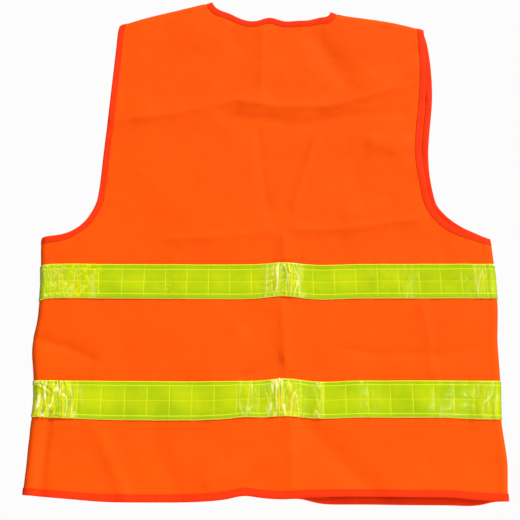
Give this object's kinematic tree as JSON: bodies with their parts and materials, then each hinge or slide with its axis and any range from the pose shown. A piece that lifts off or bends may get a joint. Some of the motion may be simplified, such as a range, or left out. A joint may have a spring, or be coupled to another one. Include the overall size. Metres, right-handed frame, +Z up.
{
  "type": "high visibility vest",
  "caption": "Sleeveless safety vest of orange knit with two horizontal reflective bands, bound edges and a front that opens in two hook-and-loop fronts",
  "frame": {"origin": "midway between the two neck points of the shoulder seams, in the plane where the back and front layers meet", "axes": "+Z up from the hem to the neck as the vest is worn; -Y is the back panel's outer side and +Y the front opening; +X is the wearer's right"},
  "size_m": [0.6312, 0.0214, 0.7476],
  "materials": {
    "orange_knit": "matt fluorescent polyester warp knit",
    "reflective_band": "glossy welded prismatic PVC, fluorescent yellow",
    "binding": "matt woven polyester binding tape, stitched",
    "overlock": "overlocked seam allowance",
    "hook_tape": "nylon hook tape",
    "loop_tape": "napped nylon loop tape",
    "label": "plain woven label"
  },
  "bodies": {
    "root": {"back_panel": "orange_knit", "back_upper_band": "reflective_band", "back_lower_band": "reflective_band", "left_panel_side": "orange_knit", "right_panel_side": "orange_knit", "left_upper_band_side": "reflective_band", "right_upper_band_side": "reflective_band", "left_lower_band_side": "reflective_band", "right_lower_band_side": "reflective_band", "neck_binding": "binding", "hem_binding": "binding", "left_armhole_binding": "binding", "right_armhole_binding": "binding", "left_side_seam": "overlock", "right_side_seam": "overlock", "left_shoulder_seam": "overlock", "right_shoulder_seam": "overlock", "neck_label": "label", "care_label": "label"},
    "left_front": {"left_panel_flap": "orange_knit", "left_upper_band_flap": "reflective_band", "left_lower_band_flap": "reflective_band", "left_hem_flap": "binding", "left_edge_binding": "binding", "upper_hook": "hook_tape", "lower_hook": "hook_tape"},
    "right_front": {"right_panel_flap": "orange_knit", "right_upper_band_flap": "reflective_band", "right_lower_band_flap": "reflective_band", "right_hem_flap": "binding", "right_edge_binding": "binding", "upper_loop": "loop_tape", "lower_loop": "loop_tape"}
  },
  "joints": [
    {"name": "left_front_fold", "type": "hinge", "parent": "root", "child": "left_front", "pos_m": [-0.093, 0.0089, 0], "axis": [0.1616, 0, 0.9869], "range_deg": [0, 170]},
    {"name": "right_front_fold", "type": "hinge", "parent": "root", "child": "right_front", "pos_m": [0.093, 0.0089, 0], "axis": [0.1616, 0, -0.9869], "range_deg": [0, 170]}
  ]
}
